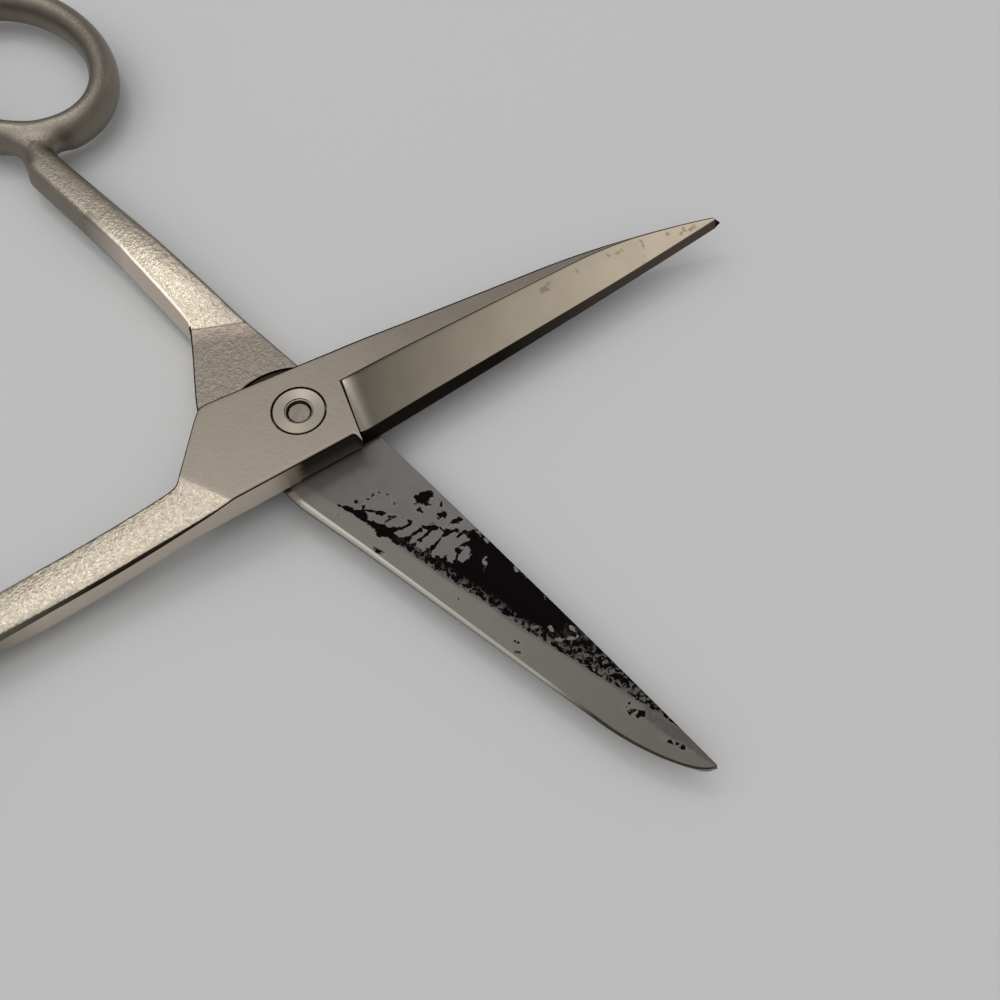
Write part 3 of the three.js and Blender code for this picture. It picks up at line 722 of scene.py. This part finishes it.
tones = ((clouds, "#54514e", "#66635f"), (clouds, "#605d56", "#6c6962"), (brown, "#2a211e", "#57504b"))
hollow_colour, strip_colour, tint = (
    add(tree, "ShaderNodeMix", {0: part, 6: linear(dark), 7: linear(light)}, data_type="RGBA").outputs[2]
    for part, dark, light in tones
)
along = add(tree, "ShaderNodeSeparateXYZ", {0: place}).outputs[0]
toward_tip = add(tree, "ShaderNodeMapRange", {0: along, 1: 36, 2: 64}).outputs[0]
strip_colour = add(
    tree, "ShaderNodeMix", {0: toward_tip, 6: strip_colour, 7: linear("#5b5851")}, data_type="RGBA"
).outputs[2]
on_strip = add(tree, "ShaderNodeMapRange", {0: strip, 1: -0.15, 2: 0.15}).outputs[0]
bare = add(
    tree, "ShaderNodeMix", {0: on_strip, 6: hollow_colour, 7: strip_colour}, data_type="RGBA"
).outputs[2]
tinted = add(tree, "ShaderNodeMath", {0: stain, 1: mottle}, operation="MAXIMUM").outputs[0]
bare = add(tree, "ShaderNodeMix", {0: tinted, 6: bare, 7: tint}, data_type="RGBA").outputs[2]

cells = add(tree, "ShaderNodeTexVoronoi", {"Vector": place, "Scale": 1 / 0.7}).outputs["Color"]
edge = scale
for noise, reach in ((ragged, 0.25), (cells, 0.22), (fine, 0.22)):
    shift = add(tree, "ShaderNodeMapRange", {0: noise, 3: -reach, 4: reach}).outputs[0]
    edge = add(tree, "ShaderNodeMath", {0: edge, 1: shift}, operation="ADD").outputs[0]
whole = add(tree, "ShaderNodeMapRange", {0: edge, 1: -0.05, 2: 0.05}).outputs[0]
flakes = add(tree, "ShaderNodeMapRange", {0: fine, 1: 0.44, 2: 0.5}).outputs[0]
left = add(tree, "ShaderNodeMix", {0: mottle, 2: 1.0, 3: flakes}).outputs[0]
black = add(tree, "ShaderNodeMath", {0: whole, 1: left}, operation="MULTIPLY").outputs[0]
rim = add(tree, "ShaderNodeMapRange", {0: edge, 1: -0.25, 2: -0.06, 4: 0.25}).outputs[0]
bare = add(tree, "ShaderNodeMix", {0: rim, 6: bare, 7: linear("#7b756e")}, data_type="RGBA").outputs[2]
colour = add(tree, "ShaderNodeMix", {0: black, 6: bare, 7: linear("#0b0909")}, data_type="RGBA").outputs[2]
tree.links.new(colour, shader.inputs["Base Color"])
metal = add(tree, "ShaderNodeMapRange", {0: black, 3: 0.5, 4: 1.0}).outputs[0]
tree.links.new(metal, shader.inputs["Metallic"])
crust = add(tree, "ShaderNodeMath", {0: black, 1: 0.02 * MM}, operation="MULTIPLY").outputs[0]
bump = add(tree, "ShaderNodeBump", {"Strength": 1.0, "Distance": 1.0, "Height": crust}).outputs[0]
tree.links.new(bump, shader.inputs["Normal"])

# Outline of the scale on the back blade, towards the spine and towards the cutting edge, and the strip's side
SCALE_LOW = ((11.8, 5.3), (18, 4.5), (19.3, 4.9), (21.2, 4.2), (25, 3.8), (27.7, 3.6), (32.2, 3.1), (37, 2.4),
             (42, 2.1), (48, 1.2), (54.7, 0.4), (58.7, -0.2), (66, -1))
SCALE_TOP = ((11.7, 5.3), (14.5, 3.9), (16.1, 3.1), (17.6, 2), (18.7, 1.3), (20.5, 0.8), (21.6, 0.1),
             (23.3, -0.6), (24, -1.6), (25.2, -1.5), (26.4, -2.6), (27.4, -3.4), (28.3, -4.3), (30, -9))
STRIP_SIDE = ((6, 6.1), (11.7, 5.4), (58.7, -0.15), (60.9, 0.05), (62.5, 1.2), (65, 1.05), (68, 0.7),
              (72.5, 0.2))
# Blots on the blades: x, y, half length, half width, and lean in degrees
BARE_FLAKES = (
    (17.6, 3.1, 1.5, 0.65, 156), (19.6, 1.9, 1.7, 0.7, 136), (21.9, 1.6, 1.9, 0.7, 113),
    (23.3, 1.5, 1.4, 0.4, 100), (25, 0.6, 2.4, 0.75, 98), (27.3, -0.4, 2.6, 1.2, 105),
    (28.7, 0.5, 0.9, 0.6, 64), (29.9, -0.8, 1.2, 0.7, 79), (32.7, -1.8, 0.8, 0.2, 48),
    (45.5, -0.3, 0.3, 0.2, 24), (47.7, -2.2, 0.5, 0.2, 22), (47.9, -0.7, 1.3, 0.12, 131),
    (44, 0.8, 0.55, 0.15, 126),
)
SCALE_PATCHES = (
    (19.8, -3.4, 1.3, 0.7, 113), (20.9, -3, 0.5, 0.36, 139), (22.5, -4.1, 0.55, 0.2, 35),
    (23.7, -3, 0.65, 0.5, 139), (25.6, -3.6, 0.85, 0.5, 129), (20.8, -1.7, 0.6, 0.26, 18),
    (20, -1.8, 0.4, 0.17, 0), (21.2, 0.5, 0.55, 0.26, 146), (23.7, -0.7, 1, 0.42, 127),
    (13.4, 3.2, 0.3, 0.26, 123), (14.3, 1, 0.5, 0.14, 73), (14.4, 0.4, 0.5, 0.14, 154),
    (14.3, 2, 0.43, 0.14, 100), (14.8, 3, 0.4, 0.3, 114), (15.8, -0.4, 0.2, 0.14, 155),
    (17.3, -0.4, 0.3, 0.17, 34), (21.3, -4.1, 0.5, 0.14, 11), (20.6, 6.7, 0.8, 0.26, 170),
    (30, -1, 0.25, 0.2, 6), (61, 1.4, 1, 0.18, 161), (60.7, 0.9, 0.8, 0.15, 154),
    (59.4, 0.7, 0.2, 0.13, 163), (43.4, 4, 0.25, 0.14, 159), (44.1, 5.1, 0.4, 0.13, 147),
    (33.5, 4.5, 0.2, 0.15, 0), (12.7, 6.3, 0.2, 0.15, 0), (67.3, 0.9, 0.9, 0.13, 165),
)
SCALE_CRACKS = (
    (18.8, 2, 0.9, 0.12, 108), (21.1, 1.5, 1.4, 0.14, 110), (22.7, 1.4, 1.35, 0.13, 100),
    (24, 0.5, 2, 0.16, 92), (26, 0.4, 1.8, 0.16, 82), (26.2, -2.1, 0.9, 0.22, 124),
    (27.5, -2.4, 0.8, 0.14, 95), (14.4, 1.4, 1.2, 0.1, 103), (15.9, 2.9, 1.65, 0.2, 145),
    (22.4, -4.3, 0.65, 0.16, 53),
)
FACE_STAINS = (
    (40.8, 1.5, 0.8, 0.42, 0), (42, 2, 0.5, 0.22, 10), (46.9, 2.2, 0.5, 0.25, 100),
    (52.7, 2.3, 0.4, 0.2, 90), (54.5, 1.9, 0.6, 0.25, 10), (58.5, 2, 0.3, 0.25, 0),
    (58.4, 1.2, 0.4, 0.22, 80), (58.1, 0.6, 0.4, 0.3, 60), (57.8, -0.4, 0.2, 0.2, 0),
    (57.1, -1.2, 0.25, 0.2, 0), (61, -0.7, 0.2, 0.2, 0), (63, 1.2, 0.5, 0.3, 30), (65.2, 0.6, 0.7, 0.3, 40),
    (67, 0.3, 0.6, 0.3, 20),
)
EDGE_CHIPS = tuple((x, side_line(x, BACK) + 0.3, 0.3, 0.13, 8) for x in (29.2, 30.9, 31.5, 36.6, 37.8, 41.6))
PEBBLE_SIZE, PEBBLE_DEPTH = 0.8, 0.16
BOSS_PEBBLES, BOW_PEBBLES, SMOOTH_RUN = 0.75, 0.15, (4, 13)
SCALE_TOP_SHARE, CRACK_CONTRAST, WORN_LEAST, STAIN_DEPTH = 0.7, 3, 0.35, 0.8
BLOT_POWER, FAR_OUTSIDE, SHARP_ANGLE = 3, -9.0, math.radians(30)
# Ranges over which a finish comes in: tilt of a face, mm past a line, and places along a half
FLAT_TILT, UNDERSIDE_TILT = (0.35, 0.75), -0.8
CREASE_RUN, BOW_RUN, BOSS_RUN = (0, 0.6), (21, 38), (1, 2)
BORDER_RUN, BAND_RUN, WORN_RUN, STRIP_RUN = (-0.5, 0), (0, 1.5), (-5.45, -3.5), (0, 0.4)
SCALE_FROM, BAND_FROM, WORN_FROM, STAIN_FROM = (12, 14), (21, 25), (46, 54), (56, 60)
WORN_SLOPE, COME_IN = 0.06, (0, 1)


def blot_depth(x, y, blots):
    """How deep a place is inside the nearest blot, in millimetres."""
    depth = np.full(len(x), FAR_OUTSIDE)
    for centre_x, centre_y, length, width, lean in blots:
        c, s = math.cos(math.radians(lean)), math.sin(math.radians(lean))
        dx, dy = x - centre_x, y - centre_y
        along, across = np.abs((dx * c + dy * s) / length), np.abs((dy * c - dx * s) / width)
        away = (along ** BLOT_POWER + across ** BLOT_POWER) ** (1 / BLOT_POWER)
        depth = np.maximum(depth, (1 - away) * width)
    return depth


def mark(piece, half):
    """Writes onto a half where each place is, how far it keeps its forged skin, and its scale and stains."""
    mesh = piece.data
    count = len(mesh.vertices)
    co, normal = np.empty(count * 3, np.float32), np.empty(count * 3, np.float32)
    mesh.vertices.foreach_get("co", co)
    mesh.vertex_normals.foreach_get("vector", normal)
    co, normal = co.reshape(-1, 3), normal.reshape(-1, 3)
    x, y, z = co.T.astype(float)
    outer = past_crease(x, y, half, OUTER_CREASE)
    inner = past_crease(x, y, half, INNER_CREASE)
    past = np.where(normal[:, 2] > 0, outer, inner)
    flat = np.interp(np.abs(normal[:, 2]), FLAT_TILT, COME_IN)
    forged = np.interp(past, CREASE_RUN, COME_IN) * flat * np.interp(x - BOW_X, BOW_RUN, (BOW_PEBBLES, 1))
    from_side = (y + half["side"] + SHANK_SPLAY * (HEEL_X - x)) / half["shank"]
    # The skin's paleness across the shank is partly a painted highlight, lighter on one side as the light
    # falls.
    pale = forged * np.interp(from_side, *half["pale"])
    forged = forged * np.interp(past, SMOOTH_RUN, (1, half["smooth"]))
    on_boss = np.interp(-x, BOSS_RUN, COME_IN) * (normal[:, 2] < UNDERSIDE_TILT) * BOSS_PEBBLES
    forged = np.maximum(forged, on_boss)

    low, top, side = (np.interp(x, *zip(*line)) for line in (SCALE_LOW, SCALE_TOP, STRIP_SIDE))
    if half is BACK:
        black = np.maximum(np.minimum(low - y, (y - top) * SCALE_TOP_SHARE), blot_depth(x, y, SCALE_PATCHES))
        black = np.minimum(black, -blot_depth(x, y, BARE_FLAKES + EDGE_CHIPS))
        black = np.maximum(black, CRACK_CONTRAST * blot_depth(x, y, SCALE_CRACKS))
        black = np.where(x < SCALE_TOP[0][0], blot_depth(x, y, SCALE_PATCHES), black)
    else:
        black = np.where(normal[:, 2] > 0, blot_depth(x, y, FACE_STAINS), FAR_OUTSIDE)
    inside = np.interp(low - y, BORDER_RUN, COME_IN) * np.interp(x, SCALE_FROM, COME_IN)
    band = np.interp(low - y, BAND_RUN, (1, 0)) * np.interp(x, BAND_FROM, COME_IN)
    worn = np.interp(x, WORN_FROM, COME_IN) * np.interp(y - WORN_SLOPE * x, WORN_RUN, (WORN_LEAST, 1))
    mottle = inside * np.maximum(band, worn)
    stain = np.interp(x, STAIN_FROM, COME_IN) * np.interp(side - y, STRIP_RUN, COME_IN) * STAIN_DEPTH
    layers = {
        "forged": forged, "pale": pale, "past": past, "scale": black, "strip": y - side, "mottle": mottle,
        "stain": stain,
    }
    for name, values in layers.items():
        mesh.attributes.new(name, "FLOAT", "POINT").data.foreach_set("value", values.astype(np.float32))
    mesh.attributes.new("place", "FLOAT_VECTOR", "POINT").data.foreach_set("vector", co.ravel())


def blend_seam(piece, join):
    """Rounds the seam where the bow's ring meets the shank, as the smith's hammer does."""
    shape = bmesh.new()
    shape.from_mesh(piece.data)
    seam = set()
    for edge in shape.edges:
        if len(edge.link_faces) == 2 and (edge.verts[0].co - join).length < SEAM_REACH:
            if edge.calc_face_angle_signed(0) < -SEAM_ANGLE:
                seam.update(edge.verts)
    tree = KDTree(len(seam))
    for i, vert in enumerate(seam):
        tree.insert(vert.co, i)
    tree.balance()
    near = []
    for vert in shape.verts:
        away = tree.find(vert.co)[2]
        if away is not None and away < SEAM_ROUND:
            near.append((vert, 1 - away / SEAM_ROUND, [edge.other_vert(vert) for edge in vert.link_edges]))
    for _ in range(SEAM_PASSES):
        moved = [
            vert.co.lerp(sum((v.co for v in others), Vector()) / len(others), weight * SEAM_PULL)
            for vert, weight, others in near
        ]
        for (vert, _, _), place in zip(near, moved):
            vert.co = place
    shape.to_mesh(piece.data)
    shape.free()


def into_frame(piece, placed):
    """Puts a finished piece in its place in the frame, in metres, smooth but for its sharp corners."""
    piece.data.transform(Matrix.Scale(MM, 4) @ placed)
    piece.data.shade_smooth()
    piece.data.set_sharp_from_angle(angle=SHARP_ANGLE)
    piece.data.update()
    return piece


def forge(half, name, seed):
    piece = blade_and_shank(half, name)
    for material in (steel_skin, steel_face, steel_bevel, steel_inner, steel_bead, steel_dark, steel_flank):
        piece.data.materials.append(material)
    blank = bpy.data.objects.new("bow", bpy.data.meshes.new("bow"))
    bpy.context.scene.collection.objects.link(blank)
    bow = run_tree(blank, bow_tree, {
        "Line Length": 2 * BOW_LINE_X, "Line Width": 2 * BOW_LINE_Y, "Ring Width": BOW_WIDTH,
        "Ring Thickness": BOW_THICKNESS, "Centre X": BOW_X, "Centre Y": BOW_Y, "Finish": steel_skin,
    })
    combine(piece, bow, "UNION")
    floor, top = HALF_THICKNESS - half["seat"], HALF_THICKNESS + CUT_MARGIN
    bore = [(HOLE_RADIUS, -CUT_MARGIN), (HOLE_RADIUS, floor), (SEAT_RADIUS, floor), (SEAT_RADIUS, top)]
    combine(piece, lathe("bore", bore), "DIFFERENCE")
    rings = [(RELIEF_RADIUS, -CUT_MARGIN), (RELIEF_RADIUS, RELIEF_DEPTH)]
    relief = lathe("relief", rings, steps=64, end_angle=FULL_TURN / 2)
    relief.data.transform(Matrix.Translation(RELIEF_SHIFT) @ Matrix.Rotation(math.pi / 2, 4, "Z"))
    # The relief's faces take the dark finish: painted shade in the recess.
    for face in relief.data.polygons:
        face.material_index = FINISHES.index("dark")
    combine(piece, relief, "DIFFERENCE")

    join = bow_join(half)
    blend_seam(piece, Vector((join, side_line(join, half) + shank_width(BOW_X, half) / 2, 0)))
    mark(piece, half)
    run_tree(piece, skin_tree, {"Pebble Size": PEBBLE_SIZE, "Pebble Depth": PEBBLE_DEPTH, "Seed": seed})

    turn = math.radians(OPENING / 2)
    if half is FRONT:
        placed = Matrix.Translation((0, 0, HALF_THICKNESS + RUNNING_GAP)) @ Matrix.Rotation(turn, 4, "Z")
    else:
        placed = Matrix.Translation((0, 0, HALF_THICKNESS)) @ Matrix.Rotation(-turn, 4, "Z")
        placed = placed @ Matrix.Rotation(math.pi, 4, "X")
    return into_frame(piece, placed)


back_half = forge(BACK, "forged_back_half", seed=3.0)
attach(back_half, "back")
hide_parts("back_half")
front_half = forge(FRONT, "forged_front_half", seed=7.0)
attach(front_half, "front")
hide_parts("front_half")

# The pivot pin. A headed steel pin from below, flush with the back half, through both bosses. Its
# upper end stands a little below the collar's face, and is mottled from being pressed.

PIN_RADIUS, PIN_HEAD_RADIUS, PIN_HEAD_HEIGHT, PIVOT_CHAMFER = 1.7, 3.6, 1.8, 0.1
PIN_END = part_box("pivot_pin")[1].z / MM
PIVOT_FACES = 128
pin = lathe("turned_pin", [
    (0, 0), (PIN_HEAD_RADIUS - PIVOT_CHAMFER, 0), (PIN_HEAD_RADIUS, PIVOT_CHAMFER),
    (PIN_HEAD_RADIUS, PIN_HEAD_HEIGHT), (PIN_RADIUS, PIN_HEAD_HEIGHT),
    (PIN_RADIUS, PIN_END - 4 * PIVOT_CHAMFER),
    (PIN_RADIUS - 2 * PIVOT_CHAMFER, PIN_END - 0.5 * PIVOT_CHAMFER),
    (PIN_RADIUS - 2.5 * PIVOT_CHAMFER, PIN_END), (0, PIN_END),
], PIVOT_FACES)
into_frame(pin, Matrix())
# Mild steel, cut and pressed on its end: dull grey with small dents.
steel_pin, tree, shader = new_material("pressed_pin_steel", Metallic=1.0, Roughness=0.45)
spot = add(tree, "ShaderNodeTexCoord").outputs["Object"]
dents = add(tree, "ShaderNodeTexNoise", {"Vector": spot, "Scale": 1 / (0.8 * MM), "Detail": 4.0}).outputs[0]
colour = add(
    tree, "ShaderNodeMix", {0: dents, 6: linear("#625d55"), 7: linear("#8a8378")}, data_type="RGBA"
).outputs[2]
tree.links.new(colour, shader.inputs["Base Color"])
bump = add(tree, "ShaderNodeBump", {"Strength": 0.4, "Distance": 0.05 * MM, "Height": dents}).outputs[0]
tree.links.new(bump, shader.inputs["Normal"])
pin.data.materials.append(steel_pin)
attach(pin, "back")
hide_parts("pivot_pin")

# The collar. A turned steel ring pressed onto the pin's upper end, in a round seat of the front boss, which
# turns around it. The turning marks on its face spread a highlight into light wedges.

COLLAR_RADIUS, COLLAR_BORE, COLLAR_CHAMFER, BORE_DROP = 3.6, 1.8, 0.06, 0.2
# Groove between the face and the bore's lip: how far out from the bore and down from the top
GROOVE = ((0.24, 0.05), (0.22, 0.3), (0.15, 0.3), (0.13, 0.15))
COLLAR_LOW, COLLAR_HIGH = (corner.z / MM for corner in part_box("pivot_collar"))
collar = lathe("turned_collar", [
    (COLLAR_BORE, COLLAR_LOW), (COLLAR_RADIUS, COLLAR_LOW),
    (COLLAR_RADIUS, COLLAR_HIGH - COLLAR_CHAMFER), (COLLAR_RADIUS - COLLAR_CHAMFER, COLLAR_HIGH),
    *((COLLAR_BORE + out, COLLAR_HIGH - down) for out, down in GROOVE),
    (COLLAR_BORE, COLLAR_HIGH - BORE_DROP),
], PIVOT_FACES, closed=True)
into_frame(collar, Matrix())
# Free-cutting steel faced on the lathe: fine rings, which spread a highlight into a wedge.
steel_collar, tree, shader = new_material(
    "faced_collar_steel", Metallic=1.0, Base_Color=linear("#8a8277"), Roughness=0.34, Anisotropic=0.7,
    Anisotropic_Rotation=0.25,
)
collar.data.materials.append(steel_collar)
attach(collar, "back")
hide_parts("pivot_collar")

# Table, light and camera. A plain pale table top under a bright ceiling, with two windows on the left and a
# pale wall at the far right. The camera looks down on the pair.

table_mesh = bpy.data.meshes.new("table_top")
TABLE_REACH, TABLE_DROP = 3.0, 0.03 * MM
signs = ((-1, -1), (1, -1), (1, 1), (-1, 1))
corners = [(x * TABLE_REACH, y * TABLE_REACH, -TABLE_DROP) for x, y in signs]
table_mesh.from_pydata(corners, [], [(0, 1, 2, 3)])
table = bpy.data.objects.new("table_top", table_mesh)
bpy.context.scene.collection.objects.link(table)
# Matt laminate: an even pale grey.
laminate, tree, shader = new_material("matt_laminate", Base_Color=linear("#bebebe"), Roughness=0.7)
shader.inputs["Specular IOR Level"].default_value = 0.2
table_mesh.materials.append(laminate)

world = bpy.data.worlds.new("room")
bpy.context.scene.world = world
world.use_nodes = True
tree = world.node_tree
sky = tree.nodes["Background"]
direction = add(tree, "ShaderNodeTexCoord").outputs["Generated"]
bright_side = Vector((-0.15, -0.12, 0.98)).normalized()
towards = add(
    tree, "ShaderNodeVectorMath", {0: direction, 1: bright_side}, operation="DOT_PRODUCT"
).outputs["Value"]
level = add(
    tree, "ShaderNodeMapRange", {0: towards, 1: 0.45, 2: 0.98, 3: 0.35, 4: 1.5},
    interpolation_type="SMOOTHSTEP",
).outputs[0]
seen = add(tree, "ShaderNodeLightPath").outputs["Is Camera Ray"]
sky.inputs["Color"].default_value = (1, 1, 1, 1)
shown = add(tree, "ShaderNodeMix", {0: seen, 2: level, 3: 0.6}).outputs[0]
tree.links.new(shown, sky.inputs["Strength"])

LAMPS = (
    ("window", 0.5, 0.12, (-0.2, 0.28, 0.84)),
    ("side_window", 0.25, 0.2, (-0.55, 0.12, 0.7)),
    ("far_wall", 0.12, 0.25, (0.47, 0.75, 0.2)),
)
for name, watts, size, spot in LAMPS:
    lamp_data = bpy.data.lights.new(name, "AREA")
    lamp_data.energy, lamp_data.size = watts, size
    lamp = bpy.data.objects.new(name, lamp_data)
    lamp.location = spot
    lamp.rotation_euler = (-Vector(spot)).to_track_quat("-Z", "Y").to_euler()
    bpy.context.scene.collection.objects.link(lamp)

camera_data = bpy.data.cameras.new("camera")
camera_data.lens, camera_data.sensor_width = 42.12, 36
camera_data.clip_start, camera_data.clip_end = 0.01, 20
camera = bpy.data.objects.new("camera", camera_data)
camera.location = (0.03524, -0.08130, 0.14817)
camera.rotation_euler = (math.radians(27.07), 0, math.radians(5.222))
bpy.context.scene.collection.objects.link(camera)
bpy.context.scene.camera = camera
bpy.context.scene.view_settings.view_transform = "Standard"
